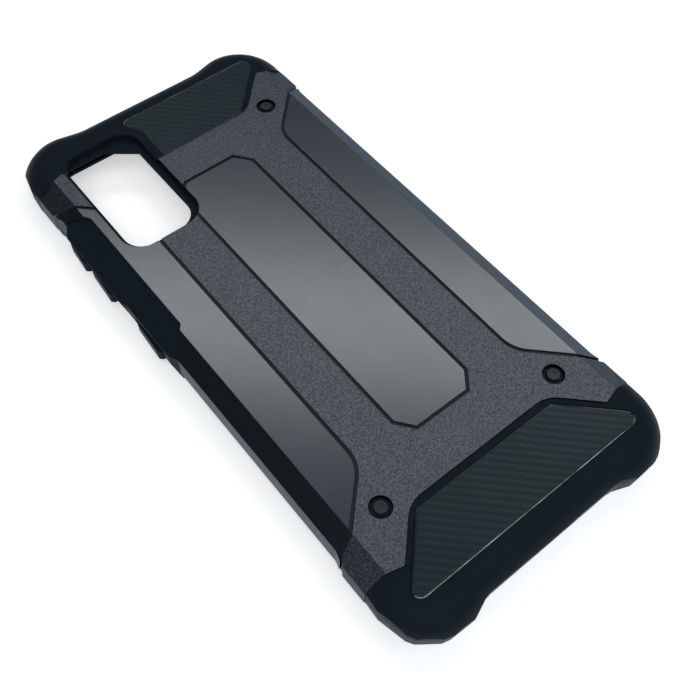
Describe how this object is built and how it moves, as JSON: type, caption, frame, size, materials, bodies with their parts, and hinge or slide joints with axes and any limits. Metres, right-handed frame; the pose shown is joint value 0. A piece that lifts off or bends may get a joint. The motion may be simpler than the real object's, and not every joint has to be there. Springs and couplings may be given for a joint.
{
  "type": "phone case",
  "caption": "Two-layer armour phone case: soft black sleeve with rounded corner bumpers and carbon-look ends, and a gunmetal hard back shell with a camera cut-out.",
  "frame": {"origin": "the middle of the front rim, in the plane the case lies on when its back is up", "axes": "+Z out of the case's back, +Y towards the phone's top (camera end), +X towards the side without keys"},
  "size_m": [0.0783, 0.1636, 0.0115],
  "materials": {
    "sleeve_soft": "satin black soft TPU",
    "shell_hard": "gunmetal painted polycarbonate: satin panels, sand-textured skeleton",
    "stud": "dark grey, semi-matte",
    "carbon_look": "carbon-look fine weave, semi-gloss with a glossy edge",
    "key_soft": "satin black soft TPU"
  },
  "bodies": {
    "sleeve": {"soft_sleeve": "sleeve_soft", "retaining_studs": "stud", "top_inlay": "carbon_look", "bottom_inlay": "carbon_look"},
    "back_shell": {"back_shell": "shell_hard"},
    "volume_up_key": {"volume_up_key": "key_soft"},
    "volume_down_key": {"volume_down_key": "key_soft"},
    "power_key": {"power_key": "key_soft"}
  },
  "joints": [
    {"name": "shell_lift", "type": "slide", "parent": "sleeve", "child": "back_shell", "axis": [0, 0, 1], "range_m": [0, 0.03]},
    {"name": "volume_up_key_press", "type": "slide", "parent": "sleeve", "child": "volume_up_key", "axis": [1, 0, 0], "range_m": [0, 0.00035], "stiffness_N_per_m": 4000},
    {"name": "volume_down_key_press", "type": "slide", "parent": "sleeve", "child": "volume_down_key", "axis": [1, 0, 0], "range_m": [0, 0.00035], "stiffness_N_per_m": 4000},
    {"name": "power_key_press", "type": "slide", "parent": "sleeve", "child": "power_key", "axis": [1, 0, 0], "range_m": [0, 0.00035], "stiffness_N_per_m": 4000}
  ]
}
